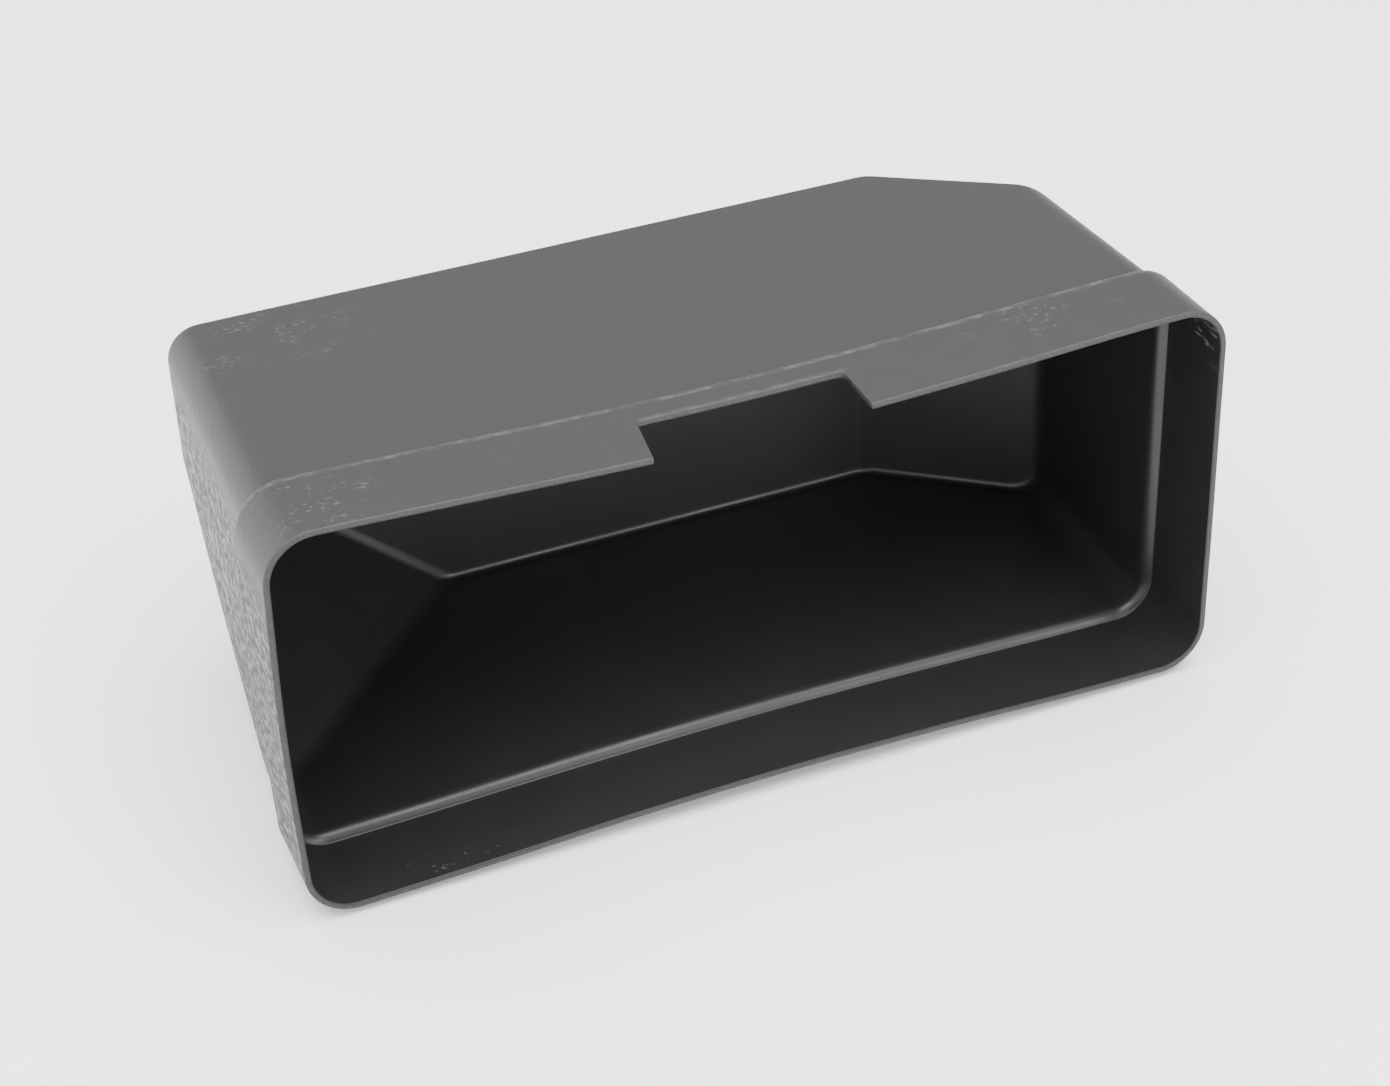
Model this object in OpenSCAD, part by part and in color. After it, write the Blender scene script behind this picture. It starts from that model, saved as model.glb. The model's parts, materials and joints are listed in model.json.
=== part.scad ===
// Glove box liner: one sheet of plastic formed into an open-fronted bin.
// A collar round the opening steps in to a tapered bin. The bin's right rear corner is chamfered and
// its lower left corner is cut off at a slant. The collar's top edge has a notch for the door latch.
// The shell is designed with the opening at y = 0 and the back wall at y = bin_d, then tipped back
// until it stands on the heel of the collar and the lower edge of the back wall.

/* [Opening collar] */
// Width of the collar, across its flat sides
collar_w = 330; // [270:1:400]
// Height of the collar at its corners
collar_h = 145.5; // [120:0.5:180]
// Depth of the collar, from the trimmed rim to the step
collar_d = 33; // [24:0.5:45]
// Corner radius of the collar
collar_r = 17; // [13:0.5:28]

/* [Sheet and step] */
// Thickness of the formed sheet
wall = 2.2; // [1.2:0.1:3.2]
// How far the bin lies inside the collar, all round
step_in = 3.5; // [2:0.1:7]
// Length of the ramp between the collar and the bin
step_ramp = 3.5; // [2:0.1:8]

/* [Bin] */
// Depth of the bin, from the rim to the back wall
bin_d = 153; // [128:1:190]
// Radius of the bin's long edges
bin_r = 12; // [8:0.5:18]
// Radius of the edge round the back wall
back_r = 3.6; // [3.4:0.1:6]
// How much lower the top is at the back wall
top_draft = 2.9; // [0:0.1:8]
// How much higher the floor is at the back wall
floor_draft = 6.3; // [1:0.1:12]
// How much further in the left wall is at the back wall
left_draft = 4.7; // [0:0.1:10]
// How much further in the right wall is at the back wall
right_draft = 0.9; // [0:0.1:10]

/* [Cut corners] */
// Reach of the right rear chamfer along the back wall
chamfer_w = 55.5; // [30:0.5:90]
// Reach of the right rear chamfer along the right wall
chamfer_d = 40; // [20:0.5:70]
// Reach of the lower left cut along the floor, at the back wall
cut_run = 90.5; // [50:0.5:120]
// Reach of the lower left cut up the left wall, at the back wall
cut_rise = 77.5; // [40:0.5:100]
// Depth from the rim at which the lower left cut begins
cut_start = 58; // [48:1:90]

/* [Latch notch] */
// Width of the notch at its back edge
notch_w = 71.5; // [40:0.5:120]
// Depth of the notch, back from the rim
notch_d = 22; // [8:0.5:23]
// Distance of the notch's right side from the middle of the collar
notch_right = 34.7; // [20:0.1:60]
// How far the notch's left side flares out towards the rim
notch_flare = 2.9; // [0:0.1:8]

/* [Bow of the formed walls] */
// Sag of the top at the rim, midway between its corners
top_sag = 5.2; // [0:0.1:8]
// Rise of the underside at the rim, midway between its corners
floor_rise = 4.3; // [0:0.1:8]
// Outward bow of the left side at the rim, midway up
left_bow = 1.5; // [0:0.1:4]

/* [Hidden] */

// Steps in each corner arc, along each long side, up each short side and round the back edge
arc_steps = 6;
long_steps = 14;
short_steps = 5;
back_steps = 3;
// Smallest corner radius that is still drawn as an arc
least_r = 0.4;
// How far a cutting shape runs past what it cuts
over = 5;

half_w = collar_w / 2;
mid_h = collar_h / 2;
bin_front = collar_d + step_ramp;
ramp_angle = atan2(step_in, step_ramp);

// The flat walls of the bin at depth y, before they bow
function share(y) = (y - bin_front) / (bin_d - bin_front);
function bin_left(y) = -half_w + step_in + left_draft * share(y);
function bin_right(y) = half_w - step_in - right_draft * share(y);
function bin_low(y) = step_in + floor_draft * share(y);
function bin_high(y) = collar_h - step_in - top_draft * share(y);

// The depth at which a value that changes evenly through the bin reaches its target
function depth_where(at_front, at_back, target) =
    bin_front + (bin_d - bin_front) * (target - at_front) / (at_back - at_front);

// The chamfer is an upright plane across the right rear corner, moved in by inset
chamfer_len = norm([chamfer_w, chamfer_d]);
function chamfer_x(y, inset) =
    bin_right(bin_d) - chamfer_w * (y - bin_d + chamfer_d) / chamfer_d - inset * chamfer_len / chamfer_d;
function chamfer_bite(y, inset) = bin_right(y) - inset - chamfer_x(y, inset);
function chamfer_depth(bite, inset) =
    depth_where(chamfer_bite(bin_front, inset), chamfer_bite(bin_d, inset), bite);

// The lower left cut is a slanted plane through three points, moved in by inset
cut_wall = [bin_left(bin_d), bin_d, bin_low(bin_d) + cut_rise];
cut_foot = [bin_left(bin_d) + cut_run, bin_d, bin_low(bin_d)];
cut_front = [bin_left(cut_start), cut_start, bin_low(cut_start)];
cut_cross = cross(cut_front - cut_wall, cut_foot - cut_wall);
cut_normal = cut_cross / norm(cut_cross);
cut_level = cut_normal * cut_wall;
function cut_z(x, y, inset) = (cut_level + inset - cut_normal.x * x - cut_normal.y * y) / cut_normal.z;
function cut_x(z, y, inset) = (cut_level + inset - cut_normal.z * z - cut_normal.y * y) / cut_normal.x;
function cut_up(y, inset) = cut_z(bin_left(y) + inset, y, inset) - bin_low(y) - inset;
function cut_depth(up, inset) = depth_where(cut_up(bin_front, inset), cut_up(bin_d, inset), up);
// Share of the corner radius that the cut reaches up the wall when it first touches the corner's arc
cut_slope = cut_rise / cut_run;
cut_touch = 1 + cut_slope - norm([1, cut_slope]);

// The bow of the walls is strongest at the rim and dies out at the corners and at the back wall
function bulge(u) = pow(max(0, 1 - u * u), 2);
function fade(y) = min(1, 1 - y / bin_d);
function bow_x(x, z, y) = x < 0 ? -left_bow * bulge((z - mid_h) / mid_h) * fade(y) : 0;
function bow_z(x, z, y) = (z > mid_h ? -top_sag : floor_rise) * bulge(x / half_w) * fade(y);

// A closed outline in X and Z, counter-clockwise from the foot of its lower right corner. Its corners
// are arcs, but the lower left one is a straight slant where it is cut, up by cut.y and in by cut.x.
function corner_arc(x, z, r, from) =
    [for (i = [0:arc_steps]) [x + r * cos(from + 90 * i / arc_steps), z + r * sin(from + 90 * i / arc_steps)]];
function between(a, b, steps) = [for (i = [1:steps - 1]) a + (b - a) * i / steps];
function line(a, b, steps) = concat([a], between(a, b, steps), [b]);
function side(corner, next_corner, steps) =
    concat(corner, between(corner[arc_steps], next_corner[0], steps));
function outline(left, right, low, high, r, r_right, cut) =
    let (low_right = corner_arc(right - r_right, low + r_right, r_right, -90))
    let (high_right = corner_arc(right - r_right, high - r_right, r_right, 0))
    let (high_left = corner_arc(left + r, high - r, r, 90))
    let (low_left = cut.y > 0
        ? line([left, low + cut.y], [left + cut.x, low], arc_steps)
        : corner_arc(left + r, low + r, r, 180))
    concat(
        side(low_right, high_right, short_steps),
        side(high_right, high_left, long_steps),
        side(high_left, low_left, short_steps),
        side(low_left, low_right, long_steps)
    );
function bowed(points, y) = [for (p = points) [p.x + bow_x(p.x, p.y, y), y, p.y + bow_z(p.x, p.y, y)]];

// A ring of the collar or the bin at depth y, with its walls moved in by inset
function collar_ring(y, inset) =
    let (r = collar_r - inset)
    bowed(outline(-half_w + inset, half_w - inset, inset, collar_h - inset, r, r, [0, 0]), y);
function bin_ring(y, inset) =
    let (left = bin_left(y) + inset)
    let (right = bin_right(y) - inset - max(0, chamfer_bite(y, inset)))
    let (low = bin_low(y) + inset)
    let (r = bin_r - inset)
    let (r_right = chamfer_bite(y, inset) > r - over * least_r ? max(back_r - inset, least_r) : r)
    let (cut = cut_up(y, inset) > r - least_r ? [cut_x(low, y, inset) - left, cut_up(y, inset)] : [0, 0])
    bowed(outline(left, right, low, bin_high(y) - inset, r, r_right, cut), y);

function sorted(v) =
    len(v) < 2 ? v : concat(
        sorted([for (i = [1:len(v) - 1]) if (v[i] < v[0]) v[i]]),
        [v[0]],
        sorted([for (i = [1:len(v) - 1]) if (v[i] >= v[0]) v[i]])
    );

// The rings from the rim to the back wall, for the surface that lies inset inside the outer one:
// where the cut and the chamfer begin and reach their full width, then round the back edge's arc.
function rings(inset) =
    let (ramp_shift = inset * tan(ramp_angle / 2))
    let (r = bin_r - inset)
    let (cut_rings = [cut_depth(cut_touch * r, inset), cut_depth(r, inset)])
    let (chamfer_rings = [chamfer_depth(0, inset), chamfer_depth(r, inset)])
    concat(
        [collar_ring(0, inset), collar_ring(collar_d - ramp_shift, inset)],
        [bin_ring(bin_front - ramp_shift, inset)],
        [for (y = sorted(concat(cut_rings, chamfer_rings))) bin_ring(y, inset)],
        [for (i = [0:back_steps])
            let (turn = 90 * i / back_steps)
            bin_ring(bin_d - back_r + (back_r - inset) * sin(turn), back_r - (back_r - inset) * cos(turn))]
    );

// The shell's surface: the outer rings with their back wall, the inner rings with theirs, and the rim
function strip(a, b, count) = [
    for (j = [0:count - 1])
        let (k = (j + 1) % count)
        each [[a + j, a + k, b + j], [a + k, b + k, b + j]]
];
function fan(ring, middle, count) = [for (j = [0:count - 1]) [ring + j, ring + (j + 1) % count, middle]];
function back_middle(inset) = [0, bin_d - inset, mid_h];
module sheet_body() {
    outer = rings(0);
    inner = rings(wall);
    count = len(outer[0]);
    last = len(outer) - 1;
    inside = len(outer) * count;
    middles = 2 * inside;
    points = concat([for (ring = concat(outer, inner)) each ring], [back_middle(0), back_middle(wall)]);
    faces = concat(
        [for (i = [0:last - 1]) each strip(i * count, (i + 1) * count, count)],
        fan(last * count, middles, count),
        [for (i = [0:last - 1]) each strip(inside + (i + 1) * count, inside + i * count, count)],
        [for (f = fan(inside + last * count, middles + 1, count)) [f[1], f[0], f[2]]],
        strip(inside, 0, count)
    );
    polyhedron(points, faces);
}

// The notch in the top of the collar
module latch_notch() {
    left = notch_right - notch_w;
    translate([0, 0, mid_h])
        linear_extrude(collar_h)
            polygon([
                [notch_right, notch_d],
                [notch_right, -over],
                [left - notch_flare * (1 + over / notch_d), -over],
                [left, notch_d]
            ]);
}

// How far the shell tips back to stand on the collar's heel and the edge of the back wall
edge_y = bin_d - back_r - collar_d;
edge_z = bin_low(bin_d - back_r) + back_r;
tip = atan2(edge_z, edge_y) - asin(back_r / norm([edge_y, edge_z]));
stand_depth = (bin_d - back_r) * cos(tip) + (bin_high(bin_d - back_r) - back_r) * sin(tip) + back_r;

module liner_shell() {
    color("#3b3b3d")
        translate([left_bow / 2, -stand_depth / 2, collar_d * sin(tip)])
            rotate([-tip, 0, 0])
                difference() {
                    sheet_body();
                    latch_notch();
                }
}

liner_shell();
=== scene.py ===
# Glove box liner: the detailed shell, its three plastics, the floor, the lights and the camera.
import json
import math

import bmesh
import bpy
import numpy as np
from mathutils import Matrix, Vector


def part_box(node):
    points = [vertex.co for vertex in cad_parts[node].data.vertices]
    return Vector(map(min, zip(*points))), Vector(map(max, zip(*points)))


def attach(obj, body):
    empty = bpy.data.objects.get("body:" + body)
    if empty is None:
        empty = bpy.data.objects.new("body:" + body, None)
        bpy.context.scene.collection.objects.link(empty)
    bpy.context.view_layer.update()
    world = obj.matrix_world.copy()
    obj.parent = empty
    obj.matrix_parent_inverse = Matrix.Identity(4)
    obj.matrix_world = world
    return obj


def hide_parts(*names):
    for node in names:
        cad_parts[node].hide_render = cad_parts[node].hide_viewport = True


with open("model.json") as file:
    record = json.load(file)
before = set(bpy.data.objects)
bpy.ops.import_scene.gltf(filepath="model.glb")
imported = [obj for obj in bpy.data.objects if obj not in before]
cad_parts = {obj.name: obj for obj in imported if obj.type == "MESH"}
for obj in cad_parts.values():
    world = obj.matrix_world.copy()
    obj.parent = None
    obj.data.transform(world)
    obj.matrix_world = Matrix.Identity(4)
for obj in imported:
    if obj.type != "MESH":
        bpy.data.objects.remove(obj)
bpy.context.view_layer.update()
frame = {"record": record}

NODE = "liner_shell"
MM = 0.001

# Sizes of the liner in millimetres, in its own frame: the rim lies at depth 0 and the back wall at
# BIN_D, X runs across the opening from its middle, and Z runs up from the collar's lower side.
COLLAR_W = 330
COLLAR_H = 145.5
COLLAR_D = 33
COLLAR_R = 17
WALL = 2.2
STEP_IN = 3.5
STEP_RAMP = 3.5
BIN_D = 153
BIN_R = 12
BACK_R = 3.6
BACK_R_INSIDE = 2.4
TOP_DRAFT = 2.9
FLOOR_DRAFT = 6.3
LEFT_DRAFT = 4.7
RIGHT_DRAFT = 0.9
CHAMFER_W = 55.5
CHAMFER_D = 40
CUT_RUN = 90.5
CUT_RISE = 77.5
CUT_START = 58
NOTCH_W = 71.5
NOTCH_D = 22
NOTCH_RIGHT = 34.7
NOTCH_FLARE = 2.9
TOP_SAG = 5.2
FLOOR_RISE = 4.3
LEFT_BOW = 1.5

HALF_W = COLLAR_W / 2
MID_H = COLLAR_H / 2
BIN_FRONT = COLLAR_D + STEP_RAMP

# Where the step starts, the slope of its riser and the radii of its bends, next to the collar and
# next to the bin: soft on the outside of the sheet, steep with a small foot on the inside
STEP_OUTSIDE = (COLLAR_D, math.radians(45), 3.6, 3.2)
STEP_INSIDE = (COLLAR_D - 0.1, math.radians(68), 0.6, 4.4)
# Radius of the notch's two back corners, right and left, outside and inside the sheet
NOTCH_CORNERS_OUTSIDE = (1.2, 0.8)
NOTCH_CORNERS_INSIDE = (3.4, 1.0)

# Width of the worn bevel along the trimmed edge, and the sharpest bend that is left unbevelled
TRIM_BEVEL = 0.3
TRIM_ANGLE = math.radians(48)
# How far the trimmed rim wanders from its plane, how deep that reaches, and the length of its waves
TRIM_WANDER = 0.22
TRIM_REACH = 5
TRIM_WAVE = 37
# How far the formed walls undulate and the length of those waves. They undulate less at the rim, by
# this share, and fully from this depth on.
WALL_WANDER = 0.12
WALL_WAVE = 90
WALL_WANDER_AT_RIM = 0.3
WALL_WANDER_DEPTH = 20
# Seeds of the rim's waves and of the walls' waves in X and in Z, and how many waves are joined
TRIM_SEED, WALL_SEED_X, WALL_SEED_Z = 3, 5, 8
WAVES = 5

# Rays cast round each section to find its outline, how far they reach, and how often each is halved
RAYS = 3600
RAY_REACH = COLLAR_W / 1.5
HALVINGS = 34
# How many millimetres of straight wall take as many columns as one radian of bend, and over how many
# rays either way the bends are averaged
BEND_WORTH = 18
BEND_SPREAD = 6
# Columns from the middle of the right wall to the notch, across it, on to the left wall, down to the
# middle of the underside, and back to the right wall
COLUMNS = (76, 26, 76, 100, 80)
NOTCH_FIRST = COLUMNS[0]
NOTCH_LAST = COLUMNS[0] + COLUMNS[1]
# Angles from the middle of the section: the stretch that holds the notch, and the left wall's mark
NOTCH_ANGLES = (math.radians(35), math.radians(145))
LEFT_MARK = math.radians(169)
# Rows from the rim to the notch's back edge: from one depth to another, and how many
NOTCH_STRETCHES = [
    (0, 2, 2),
    (2, NOTCH_D - 4, 7),
    (NOTCH_D - 4, NOTCH_D - 1, 4),
    (NOTCH_D - 1, NOTCH_D, 4),
]
NOTCH_ROW = sum(rows for _, _, rows in NOTCH_STRETCHES)
# Rows across each bend of the step and round the back edge
STEP_ROWS = 8
BACK_ROWS = 8
# Sizes of the rings that close the back wall, as shares of its outline
BACK_RINGS = (0.97, 0.85, 0.62, 0.36, 0.12)

# What each face is made of, in the order of the piece's materials
OUTSIDE, INSIDE, TRIMMED = 0, 1, 2


# The liner's shape

def step_points(inset):
    """Depths through the step and how far the wall has moved in there: a bend, a slope and a bend."""
    start, angle, collar_bend, bin_bend = STEP_INSIDE if inset else STEP_OUTSIDE
    end = start + STEP_IN / math.tan(angle)
    turn = np.linspace(0, angle, STEP_ROWS)
    front = start - collar_bend * math.tan(angle / 2) + collar_bend * np.sin(turn)
    back = end + bin_bend * math.tan(angle / 2) - bin_bend * np.sin(turn)
    rise_front = collar_bend * (1 - np.cos(turn))
    rise_back = STEP_IN - bin_bend * (1 - np.cos(turn))
    return np.concatenate([front, back[::-1]]), np.concatenate([rise_front, rise_back[::-1]])


STEPS = {inset: step_points(inset) for inset in (0, WALL)}


def walls(y, inset):
    """The flat walls at one depth, as left, right, low and high, and the radius between them."""
    rise = np.interp(y, *STEPS[inset])
    share = max(0, (y - BIN_FRONT) / (BIN_D - BIN_FRONT))
    left = -HALF_W + rise + LEFT_DRAFT * share
    right = HALF_W - rise - RIGHT_DRAFT * share
    low = rise + FLOOR_DRAFT * share
    high = COLLAR_H - rise - TOP_DRAFT * share
    return left, right, low, high, COLLAR_R + (BIN_R - COLLAR_R) * rise / STEP_IN


def cut_plane():
    """The slanted cut as an outward normal and its level."""
    left, _, low, _, _ = walls(BIN_D, 0)
    front_left, _, front_low, _, _ = walls(CUT_START, 0)
    wall = np.array([left, BIN_D, low + CUT_RISE])
    foot = np.array([left + CUT_RUN, BIN_D, low])
    front = np.array([front_left, CUT_START, front_low])
    normal = np.cross(foot - wall, front - wall)
    normal /= np.linalg.norm(normal)
    if normal[2] > 0:
        normal = -normal
    return normal, normal @ wall


CUT_NORMAL, CUT_LEVEL = cut_plane()


def back_bend(inset):
    """Radius of the edge round the back wall, and how far its middle lies in front of the wall."""
    radius = BACK_R_INSIDE if inset else BACK_R
    return radius, radius + inset


def beyond(x, z, y, inset):
    """Above 0 outside the surface that lies inset inside the outer one, and below 0 inside it."""
    left, right, low, high, corner_r = walls(y, inset)
    across = np.abs(x - (left + right) / 2) - (right - left) / 2 + corner_r
    up = np.abs(z - (low + high) / 2) - (high - low) / 2 + corner_r
    outside = np.hypot(np.maximum(across, 0), np.maximum(up, 0))
    box = outside + np.minimum(np.maximum(across, up), 0) - corner_r
    _, back_right, _, _, _ = walls(BIN_D, inset)
    chamfer = (x - back_right) * CHAMFER_D + (y - BIN_D + CHAMFER_D) * CHAMFER_W
    chamfer = chamfer / math.hypot(CHAMFER_W, CHAMFER_D)
    cut = CUT_NORMAL[0] * x + CUT_NORMAL[1] * y + CUT_NORMAL[2] * z - CUT_LEVEL
    radius, setback = back_bend(inset)
    near = np.stack([box, chamfer, cut]) + setback
    back = max(setback + y - BIN_D, 0)
    room = math.sqrt(max(radius ** 2 - back ** 2, 0))
    return np.minimum(near.max(0), 0) + np.sqrt((np.maximum(near, 0) ** 2).sum(0)) - room


def ray_angles():
    """Angles of the rays, evenly spread round the collar's outline."""
    turn = []
    start = (HALF_W, 0)
    corners = [(HALF_W, MID_H), (-HALF_W, MID_H), (-HALF_W, -MID_H), (HALF_W, -MID_H)]
    for a, b in zip([start] + corners, corners + [start]):
        rays = round(RAYS * math.dist(a, b) / (2 * COLLAR_W + 2 * COLLAR_H))
        steps = np.linspace(0, 1, rays, endpoint=False)
        turn.append(np.arctan2(a[1] + (b[1] - a[1]) * steps, a[0] + (b[0] - a[0]) * steps))
    turn = np.unwrap(np.concatenate(turn))
    return np.append(turn, turn[0] + 2 * math.pi)


ANGLES = ray_angles()


def outline(y, inset):
    """The closed outline at one depth, anticlockwise from the middle of the right wall."""
    near = np.zeros(len(ANGLES))
    far = np.full(len(ANGLES), RAY_REACH)
    dx, dz = np.cos(ANGLES), np.sin(ANGLES)
    for _ in range(HALVINGS):
        reach = (near + far) / 2
        inside = beyond(reach * dx, MID_H + reach * dz, y, inset) < 0
        near = np.where(inside, reach, near)
        far = np.where(inside, far, reach)
    return near * dx, MID_H + near * dz


def corner_run(y, radius):
    """How far a notch side has turned inwards at one depth, as it nears the notch's back edge."""
    over = y - (NOTCH_D - radius)
    return radius - math.sqrt(max(radius ** 2 - over ** 2, 0)) if 0 < over else 0


def notch_sides(y, inset):
    """The notch's right and left side at one depth, carried on straight behind the notch."""
    depth = min(y, NOTCH_D)
    right_r, left_r = NOTCH_CORNERS_INSIDE if inset else NOTCH_CORNERS_OUTSIDE
    right = NOTCH_RIGHT - corner_run(depth, right_r)
    left = NOTCH_RIGHT - NOTCH_W - NOTCH_FLARE * (1 - depth / NOTCH_D) + corner_run(depth, left_r)
    return right, left


def averaged(values):
    """Each value of a closed loop averaged with its neighbours."""
    count = 2 * BEND_SPREAD + 1
    return np.convolve(np.pad(values, BEND_SPREAD, mode="wrap"), np.ones(count) / count, mode="valid")


def spaced_outline(y, inset):
    """The outline's columns: close together round the bends, with a column on each notch side."""
    x, z = outline(y, inset)
    step = np.hypot(np.diff(x), np.diff(z))
    heading = np.unwrap(np.arctan2(np.diff(z), np.diff(x)))
    turn = averaged(np.abs(np.diff(heading, append=heading[0] + 2 * math.pi)))
    worth = np.concatenate([[0], np.cumsum(step + BEND_WORTH * turn)])
    top = (ANGLES > NOTCH_ANGLES[0]) & (ANGLES < NOTCH_ANGLES[1])
    order = np.argsort(x[top])
    marks = [0]
    marks += [np.interp(side, x[top][order], worth[top][order]) for side in notch_sides(y, inset)]
    marks += [np.interp(LEFT_MARK, ANGLES, worth), np.interp(1.5 * math.pi, ANGLES, worth), worth[-1]]
    at = [np.linspace(a, b, n, endpoint=False) for a, b, n in zip(marks, marks[1:], COLUMNS)]
    at = np.concatenate(at)
    return np.interp(at, worth, x), np.interp(at, worth, z)


def row_depths(inset):
    """Depths of the rows: close together at the notch's corners, the step, the cuts and the back."""
    step, _ = STEPS[inset]
    chamfer_front = BIN_D - CHAMFER_D
    radius, setback = back_bend(inset)
    fillet = BIN_D - setback
    bin_stretches = [
        (NOTCH_D, step[0], 5),
        (step[-1] + 0.6, CUT_START - 4, 7),
        (CUT_START - 4, CUT_START + 14, 12),
        (CUT_START + 14, chamfer_front - 6, 9),
        (chamfer_front - 6, chamfer_front + 14, 13),
        (chamfer_front + 14, fillet, 8),
    ]
    stretches = NOTCH_STRETCHES + bin_stretches
    depths = np.concatenate([np.linspace(a, b, n, endpoint=False) for a, b, n in stretches])
    turn = np.linspace(0, math.pi / 2, BACK_ROWS)
    return np.sort(np.concatenate([depths, step, fillet + radius * np.sin(turn)]))


def bowed(p):
    """The points with the bow of the formed walls, strongest at the rim."""
    x, y, z = p.T
    fade = np.minimum(1, 1 - y / BIN_D)
    tall = np.maximum(0, 1 - ((z - MID_H) / MID_H) ** 2) ** 2
    wide = np.maximum(0, 1 - (x / HALF_W) ** 2) ** 2
    bow_x = np.where(x < 0, -LEFT_BOW * tall * fade, 0)
    bow_z = np.where(z > MID_H, -TOP_SAG, FLOOR_RISE) * wide * fade
    return np.stack([x + bow_x, y, z + bow_z], 1)


def waves(seed, p, length):
    """Slow, seeded undulation between -1 and 1, about one wave per length."""
    draw = np.random.default_rng(seed)
    total = np.zeros(len(p))
    for _ in range(WAVES):
        way = draw.normal(size=3)
        way /= np.linalg.norm(way) * length * draw.uniform(0.7, 1.4)
        total += np.sin(2 * math.pi * (p @ way) + draw.uniform(0, 2 * math.pi))
    return total / WAVES


def wandered(p):
    """The points with the small unevenness of a hand-trimmed rim and of drawn sheet."""
    near_rim = np.clip(1 - p[:, 1] / TRIM_REACH, 0, 1)
    p = p.copy()
    p[:, 1] += TRIM_WANDER * near_rim * (1 + waves(TRIM_SEED, p * [1, 0, 1], TRIM_WAVE))
    away = np.clip(p[:, 1] / WALL_WANDER_DEPTH, WALL_WANDER_AT_RIM, 1)
    p[:, 0] += WALL_WANDER * away * waves(WALL_SEED_X, p, WALL_WAVE)
    p[:, 2] += WALL_WANDER * away * waves(WALL_SEED_Z, p, WALL_WAVE)
    return p


def surface_rows(inset):
    """The rows of one surface from the rim to the back wall, the rings closing it and its middle."""
    rows = []
    for y in row_depths(inset):
        x, z = spaced_outline(y, inset)
        rows.append(np.stack([x, np.full(len(x), y), z], 1))
    last = rows[-1]
    middle = np.array([0, last[0, 1], MID_H])
    rows += [middle + (last - middle) * size for size in BACK_RINGS]
    return rows, middle


def surface_faces(first, count):
    """The faces of one surface whose points start at first, in count rows, without the notch."""
    columns = sum(COLUMNS)
    faces = []
    for r in range(count - 1):
        for c in range(columns):
            if r < NOTCH_ROW and NOTCH_FIRST <= c < NOTCH_LAST:
                continue
            a = first + r * columns
            b = a + columns
            k = (c + 1) % columns
            faces.append((a + c, a + k, b + k, b + c))
    last = first + (count - 1) * columns
    middle = last + columns
    faces += [(last + c, last + (c + 1) % columns, middle) for c in range(columns)]
    return faces


def trimmed_faces(inside_first):
    """The faces of the trimmed edge, round the rim and in and out of the notch."""
    columns = sum(COLUMNS)
    loop = [(0, c % columns) for c in range(NOTCH_LAST, columns + NOTCH_FIRST)]
    loop += [(r, NOTCH_FIRST) for r in range(NOTCH_ROW)]
    loop += [(NOTCH_ROW, c) for c in range(NOTCH_FIRST, NOTCH_LAST)]
    loop += [(r, NOTCH_LAST) for r in range(NOTCH_ROW, 0, -1)]
    loop = [r * columns + c for r, c in loop]
    return [(a, b, inside_first + b, inside_first + a) for a, b in zip(loop, loop[1:] + loop[:1])]


def standing():
    """Carries a point of the liner's own frame, in millimetres, to the row frame, in metres."""
    mounts = {m["name"]: m for m in frame["record"]["mounts"]}
    axis = mounts["back_wall"]["axis"]
    tip = math.atan2(-axis[2], axis[1])
    turn = Matrix.Rotation(-tip, 4, "X")
    low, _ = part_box(NODE)
    heel = COLLAR_D * math.sin(tip) * MM
    return Matrix.Translation((LEFT_BOW / 2 * MM, low.y, heel)) @ turn @ Matrix.Scale(MM, 4)


STAND = standing()


def shell_mesh():
    """The formed sheet: outer and inner surface, joined along the trimmed edge."""
    points = []
    faces = []
    kinds = []
    for kind, inset in ((OUTSIDE, 0), (INSIDE, WALL)):
        first = len(points)
        rows, middle = surface_rows(inset)
        for row in rows:
            points.extend(row)
        points.append(middle)
        surface = surface_faces(first, len(rows))
        faces += surface
        kinds += [kind] * len(surface)
    edge = trimmed_faces(first)
    faces += edge
    kinds += [TRIMMED] * len(edge)
    points = wandered(bowed(np.array(points)))
    mesh = bpy.data.meshes.new("liner_shell_detail")
    mesh.from_pydata([STAND @ Vector(p) for p in points], [], faces)
    side = mesh.attributes.new("sheet_side", "FLOAT", "POINT")
    side.data.foreach_set("value", [0.0] * first + [1.0] * (len(points) - first))
    mesh.polygons.foreach_set("material_index", kinds)
    mesh.polygons.foreach_set("use_smooth", [True] * len(faces))
    b = bmesh.new()
    b.from_mesh(mesh)
    bmesh.ops.delete(b, geom=[v for v in b.verts if not v.link_faces], context="VERTS")
    bmesh.ops.recalc_face_normals(b, faces=b.faces)
    b.to_mesh(mesh)
    b.free()
    return mesh


def liner():
    """The liner's one piece, with its worn trimmed edge."""
    piece = bpy.data.objects.new("liner_shell_detail", shell_mesh())
    bpy.context.scene.collection.objects.link(piece)
    bevel = piece.modifiers.new("trimmed_edge", "BEVEL")
    bevel.limit_method = "ANGLE"
    bevel.angle_limit = TRIM_ANGLE
    bevel.width = TRIM_BEVEL * MM
    bevel.segments = 2
    normals = piece.modifiers.new("even_shading", "WEIGHTED_NORMAL")
    normals.keep_sharp = True
    for make in (exterior_plastic, interior_plastic, trimmed_plastic):
        piece.data.materials.append(make())
    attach(piece, "root")
    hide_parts(NODE)
    return piece


# Materials. Their patterns are laid out in the liner's own frame, in millimetres, and their shades
# are linear greys from 0 to 1.

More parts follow.
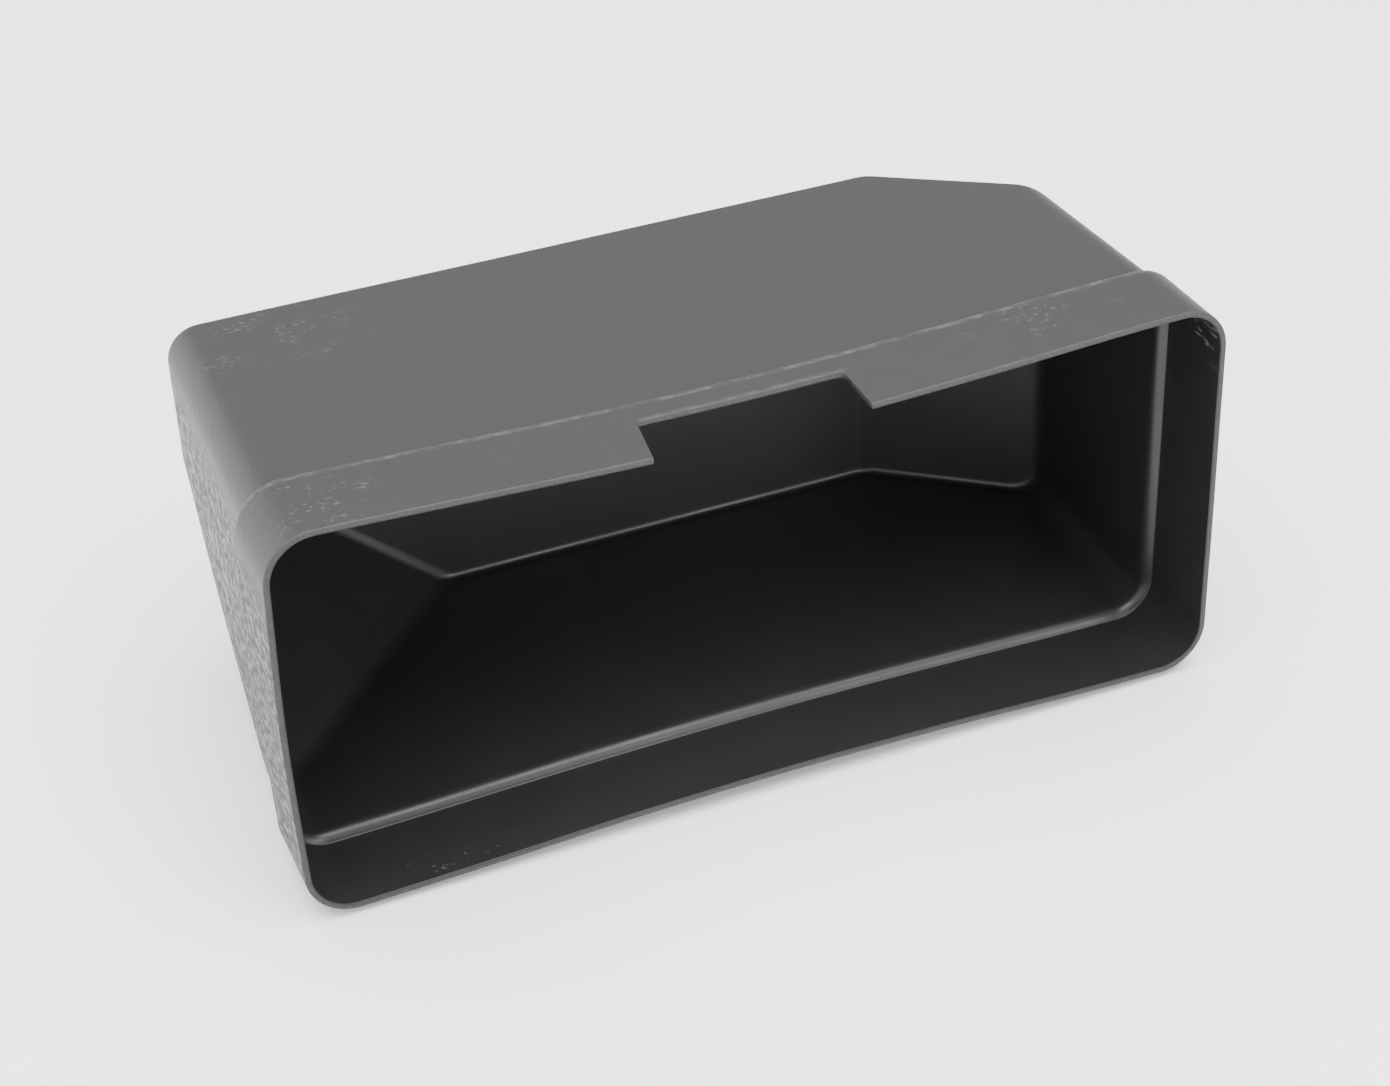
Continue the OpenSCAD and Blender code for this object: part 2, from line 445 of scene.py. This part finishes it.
# A band is its middle, how far it reaches either way, and how far it fades beyond that.
RIM = (0, 0.3, 1)
NOTCH_BACK = (NOTCH_D + 0.8, 0.4, 0.8)
NOTCH_ACROSS = (0, 30, 10)
STEP_SHOULDER = (COLLAR_D - 0.8, 1.1, 0.9)
COLLAR = (16, 12, 6)
COLLAR_LEFT = (-140, 10, 16)
COLLAR_RIGHT = (112, 20, 20)
REAR = (130, 12, 10)
REAR_LEFT = (-125, 14, 20)
SILL = (7, 3, 4)
SILL_LEFT = (-112, 10, 12)
CORNER = (8, 6, 4)
CORNER_RIGHT = (158, 4, 4)

# Heights between which something passes from none to all
TOP_BEGINS = (120, 128)
GRAIN_BEGINS = (134, 100)
SILL_BEGINS = (20, 10)
CORNER_BEGINS = (118, 124)

# Shades: darkest and palest of each mottled surface, then its marks
EXTERIOR_SHADES = (0.0125, 0.0155)
GRAIN_SHADE = 0.02
SCUFF_SHADE = 0.065
INTERIOR_SHADES = (0.0132, 0.0162)
HANDLED_SHADE = 0.1
TRIM_SHADES = (0.012, 0.03)
TRIM_OUTSIDE_SHADE = 0.024
# Painted shade: a near-black band along the inner side of the trimmed edge, standing in for shadow
# under the rim
TRIM_INSIDE_PAINTED_SHADE = 0.003
PAPER_SHADES = (0.85, 0.88)

# How strongly each edge is rubbed, from 0 to 1
SHOULDER_WEAR = 0.75
RIM_WEAR = 0.35
NOTCH_WEAR = 0.4
SILL_WEAR = 0.8

# Depths of the reliefs
LEATHER_RELIEF = 0.35 * MM
INTERIOR_RELIEF = 0.03 * MM
TRIM_RELIEF = 0.12 * MM
PAPER_RELIEF = 0.03 * MM


class Shader:
    """A new material whose nodes are added and linked a step at a time."""

    def __init__(self, name, shade, roughness):
        self.material = bpy.data.materials.new(name)
        self.material.use_nodes = True
        self.nodes = self.material.node_tree.nodes
        self.links = self.material.node_tree.links
        self.surface = self.nodes["Principled BSDF"]
        self.surface.inputs["Base Color"].default_value = (shade, shade, shade, 1)
        self.surface.inputs["Roughness"].default_value = roughness

    def put(self, value, socket):
        """Links a socket, or sets a number or vector."""
        if isinstance(value, bpy.types.NodeSocket):
            self.links.new(value, socket)
        else:
            socket.default_value = value

    def colour(self, value):
        self.put(value, self.surface.inputs["Base Color"])

    def roughness(self, value):
        self.put(value, self.surface.inputs["Roughness"])

    def place(self):
        """The point in the liner's own frame, in millimetres."""
        where = self.nodes.new("ShaderNodeTexCoord")
        location, turn, scale = STAND.inverted().decompose()
        mapping = self.nodes.new("ShaderNodeMapping")
        mapping.inputs["Location"].default_value = location
        mapping.inputs["Rotation"].default_value = turn.to_euler()
        mapping.inputs["Scale"].default_value = scale
        self.links.new(where.outputs["Object"], mapping.inputs["Vector"])
        return mapping.outputs["Vector"]

    def axes(self, vector):
        """The vector's X, Y and Z."""
        split = self.nodes.new("ShaderNodeSeparateXYZ")
        self.put(vector, split.inputs[0])
        return split.outputs

    def stretch(self, vector, scale):
        """The vector scaled along each axis: below 1 draws a pattern out along it."""
        mapping = self.nodes.new("ShaderNodeMapping")
        self.put(vector, mapping.inputs["Vector"])
        mapping.inputs["Scale"].default_value = scale
        return mapping.outputs["Vector"]

    def noise(self, vector, size, detail=2, roughness=0.5):
        """Cloudy noise from 0 to 1 whose features are about size millimetres across."""
        node = self.nodes.new("ShaderNodeTexNoise")
        self.put(vector, node.inputs["Vector"])
        node.inputs["Scale"].default_value = 1 / size
        node.inputs["Detail"].default_value = detail
        node.inputs["Roughness"].default_value = roughness
        return node.outputs["Fac"]

    def join(self, operation, *values):
        """The values joined by one math operation, from left to right."""
        total = values[0]
        for value in values[1:]:
            node = self.nodes.new("ShaderNodeMath")
            node.operation = operation
            self.put(total, node.inputs[0])
            self.put(value, node.inputs[1])
            total = node.outputs[0]
        return total

    def fit(self, value, low, high, to_low=0.0, to_high=1.0):
        """The value carried smoothly from low..high to to_low..to_high, and held there."""
        node = self.nodes.new("ShaderNodeMapRange")
        node.interpolation_type = "SMOOTHSTEP"
        node.inputs["From Min"].default_value = low
        node.inputs["From Max"].default_value = high
        node.inputs["To Min"].default_value = to_low
        node.inputs["To Max"].default_value = to_high
        self.put(value, node.inputs["Value"])
        return node.outputs["Result"]

    def near(self, value, band):
        """1 within the band's reach of its middle, falling to 0 where it has faded."""
        middle, reach, fade = band
        away = self.join("ABSOLUTE", self.join("SUBTRACT", value, middle), 0)
        return self.fit(away, reach, reach + fade, 1, 0)

    def tint(self, mask, shade, other):
        """The shade or colour where the mask is 0, and the other where it is 1."""
        node = self.nodes.new("ShaderNodeMix")
        node.data_type = "RGBA"
        self.put(mask, node.inputs["Factor"])
        for key, grey in (("A", shade), ("B", other)):
            if not isinstance(grey, bpy.types.NodeSocket):
                grey = (grey, grey, grey, 1)
            self.put(grey, next(i for i in node.inputs if i.name == key and i.type == "RGBA"))
        return next(o for o in node.outputs if o.type == "RGBA")

    def bump(self, height, distance):
        """Raises the surface by the height times the distance, in metres."""
        node = self.nodes.new("ShaderNodeBump")
        self.put(height, node.inputs["Height"])
        node.inputs["Distance"].default_value = distance
        node.inputs["Strength"].default_value = 1
        self.put(node.outputs["Normal"], self.surface.inputs["Normal"])


def rubbed_edges(s, place, x, y):
    """Where the step's shoulder, the rim and the notch's back edge are rubbed pale, in dashes."""
    dashes = s.fit(s.noise(s.stretch(place, (1, 0.2, 1)), 12, 3), 0.42, 0.56, 0.35, 1)
    streaks = s.fit(s.noise(s.stretch(place, (0.35, 1, 1)), 1.6, 3), 0.4, 0.62, 0.2, 1)
    shoulder = s.join("MULTIPLY", s.near(y, STEP_SHOULDER), dashes, streaks, SHOULDER_WEAR)
    rim = s.join("MULTIPLY", s.near(y, RIM), streaks, dashes, RIM_WEAR)
    notch = s.join("MULTIPLY", s.near(x, NOTCH_ACROSS), s.near(y, NOTCH_BACK), streaks, NOTCH_WEAR)
    return s.join("MAXIMUM", shoulder, rim, notch)


def scuffed_patches(s, place, x, y):
    """Where the collar's top and the rear left of the bin's top are scuffed, in small flecks."""
    flecks = s.fit(s.noise(s.stretch(place, (0.55, 1, 1)), 1.3, 3, 0.6), 0.55, 0.68)
    patches = s.fit(s.noise(place, 16, 2), 0.47, 0.6)
    many = s.fit(patches, 0, 1, 0.1, 0.75)
    few = s.fit(patches, 0.7, 1, 0, 0.7)
    collar = s.near(y, COLLAR)
    left = s.join("MULTIPLY", s.near(x, COLLAR_LEFT), collar, flecks, many)
    right = s.join("MULTIPLY", s.near(x, COLLAR_RIGHT), collar, flecks, few)
    rear = s.join("MULTIPLY", s.near(x, REAR_LEFT), s.near(y, REAR), flecks, patches)
    return s.join("MAXIMUM", left, right, rear)


def exterior_plastic():
    """Grained ABS: leathery sides, back and underside, a plainer top, and pale wear on the top."""
    s = Shader("grained_abs", 0.014, 0.5)
    place = s.place()
    x, y, z = s.axes(place)
    worn = s.join("MAXIMUM", rubbed_edges(s, place, x, y), scuffed_patches(s, place, x, y))
    worn = s.join("MULTIPLY", worn, s.fit(z, *TOP_BEGINS))
    grained = s.fit(z, *GRAIN_BEGINS)
    leather = s.noise(s.stretch(place, (1, 0.65, 1)), 2.6)
    blotches = s.join("MULTIPLY", s.fit(leather, 0.35, 0.68), grained)
    mottle = s.tint(s.noise(place, 11, 3), *EXTERIOR_SHADES)
    s.colour(s.tint(worn, s.tint(blotches, mottle, GRAIN_SHADE), SCUFF_SHADE))
    # The grain's hills are glossier than its hollows
    uneven = s.join("SUBTRACT", leather, 0.5)
    s.roughness(s.fit(s.join("MULTIPLY", uneven, grained), -0.14, 0.14, 0.66, 0.36))
    coarse = s.join("MULTIPLY", uneven, s.fit(grained, 0, 1, 0.4, 4.2))
    fine = s.join("MULTIPLY", s.noise(place, 1.3), 0.25)
    s.bump(s.join("ADD", coarse, fine), LEATHER_RELIEF)
    return s.material


def interior_plastic():
    """Smooth satin ABS with slight orange peel, marked on the sill and in the upper right corner."""
    s = Shader("smooth_abs", 0.017, 0.36)
    s.surface.inputs["Specular IOR Level"].default_value = 0.42
    place = s.place()
    x, y, z = s.axes(place)
    specks = s.fit(s.noise(place, 2.6, 4, 0.7), 0.6, 0.68)
    streaks = s.fit(s.noise(s.stretch(place, (1, 0.25, 1)), 1.8), 0.58, 0.66)
    sill = s.join("MULTIPLY", s.near(x, SILL_LEFT), s.near(y, SILL), s.fit(z, *SILL_BEGINS))
    corner = s.join("MULTIPLY", s.near(x, CORNER_RIGHT), s.near(y, CORNER), s.fit(z, *CORNER_BEGINS))
    sill = s.join("MULTIPLY", sill, specks, SILL_WEAR)
    corner = s.join("MULTIPLY", corner, streaks)
    handled = s.join("MAXIMUM", sill, corner)
    mottle = s.tint(s.noise(place, 20, 3), *INTERIOR_SHADES)
    s.colour(s.tint(handled, mottle, HANDLED_SHADE))
    s.roughness(s.fit(s.noise(place, 30, 3), 0.3, 0.7, 0.33, 0.4))
    s.bump(s.join("ADD", s.noise(place, 3), s.join("MULTIPLY", handled, 0.6)), INTERIOR_RELIEF)
    return s.material


def trimmed_plastic():
    """The knife-trimmed edge: streaked, pale at the top's outside, with painted shade on its inner
    side.
    """
    s = Shader("trimmed_abs", 0.03, 0.62)
    place = s.place()
    _, _, z = s.axes(place)
    side = s.nodes.new("ShaderNodeAttribute")
    side.attribute_name = "sheet_side"
    wander = s.join("MULTIPLY", s.join("SUBTRACT", s.noise(place, 4, 3), 0.5), 0.5)
    across = s.join("ADD", side.outputs["Fac"], wander)
    streaks = s.noise(s.stretch(place, (1, 1, 0.4)), 1.4, 4, 0.65)
    worn = s.tint(s.fit(streaks, 0.38, 0.66), *TRIM_SHADES)
    outside = s.join("MULTIPLY", s.fit(across, 0.34, 0.14), s.fit(z, *TOP_BEGINS))
    # Painted shade: the sheet's inner side of the trimmed edge is darkened to stand in for shadow
    # under the rim
    inside = s.fit(across, 0.66, 0.86)
    s.colour(s.tint(inside, s.tint(outside, worn, TRIM_OUTSIDE_SHADE), TRIM_INSIDE_PAINTED_SHADE))
    s.roughness(s.fit(streaks, 0.3, 0.7, 0.52, 0.7))
    s.bump(streaks, TRIM_RELIEF)
    return s.material


def floor_paper():
    """Plain pale paper with the faintest tooth."""
    s = Shader("pale_paper", 0.86, 0.85)
    place = s.place()
    s.colour(s.tint(s.noise(place, 400), *PAPER_SHADES))
    s.bump(s.noise(place, 2), PAPER_RELIEF)
    return s.material


# Stage, lights and camera

def way_to(azimuth, elevation):
    """The direction from the liner at these angles, in radians. Azimuth 0 is in front of it."""
    return Vector((
        math.sin(azimuth) * math.cos(elevation),
        -math.cos(azimuth) * math.cos(elevation),
        math.sin(elevation),
    ))


def floor():
    """A wide paper floor."""
    bpy.ops.mesh.primitive_plane_add(size=16)
    plane = bpy.context.object
    plane.name = "floor"
    plane.data.materials.append(floor_paper())


def sky(horizon, above):
    """A pale room, brighter towards the horizon than above."""
    world = bpy.data.worlds.new("pale_room")
    world.use_nodes = True
    nodes = world.node_tree.nodes
    links = world.node_tree.links
    shade = nodes["Background"]
    shade.inputs["Color"].default_value = (1, 1, 1, 1)
    where = nodes.new("ShaderNodeTexCoord")
    split = nodes.new("ShaderNodeSeparateXYZ")
    fade = nodes.new("ShaderNodeMapRange")
    fade.inputs["From Min"].default_value = 0.05
    fade.inputs["From Max"].default_value = 0.45
    fade.inputs["To Min"].default_value = horizon
    fade.inputs["To Max"].default_value = above
    links.new(where.outputs["Generated"], split.inputs[0])
    links.new(split.outputs["Z"], fade.inputs["Value"])
    links.new(fade.outputs["Result"], shade.inputs["Strength"])
    bpy.context.scene.world = world


def soft_light(name, azimuth, elevation, distance, size, power):
    """A round lamp that faces the liner, placed by its angles in degrees."""
    way = way_to(math.radians(azimuth), math.radians(elevation))
    data = bpy.data.lights.new(name, "AREA")
    data.shape = "DISK"
    data.size = size
    data.energy = power
    lamp = bpy.data.objects.new(name, data)
    lamp.location = way * distance
    lamp.rotation_euler = way.to_track_quat("Z", "Y").to_euler()
    bpy.context.scene.collection.objects.link(lamp)


def camera():
    """The photograph's point of view, solved from the liner's own edges."""
    azimuth, elevation, roll = map(math.radians, (-22.79, 37.79, -0.23))
    distance = 0.9983
    aim = Vector((0.0049, 0.0020, 0.0454))
    way = way_to(azimuth, elevation)
    data = bpy.data.cameras.new("camera")
    data.lens = 73.55
    data.sensor_width = 36
    data.clip_start = 0.05
    eye = bpy.data.objects.new("camera", data)
    eye.location = aim + way * distance
    turn = way.to_track_quat("Z", "Y").to_matrix() @ Matrix.Rotation(roll, 3, "Z")
    eye.rotation_euler = turn.to_euler()
    bpy.context.scene.collection.objects.link(eye)
    bpy.context.scene.camera = eye


camera()
floor()
sky(horizon=1.2, above=0.82)
soft_light("overhead", 0, 88, distance=3.0, size=4.0, power=350)
soft_light("key", -52, 36, distance=1.6, size=2.0, power=16)
soft_light("fill", 27, 28, distance=1.6, size=0.9, power=13.5)
soft_light("rear_left", -140, 20, distance=1.8, size=1.2, power=10)
liner()
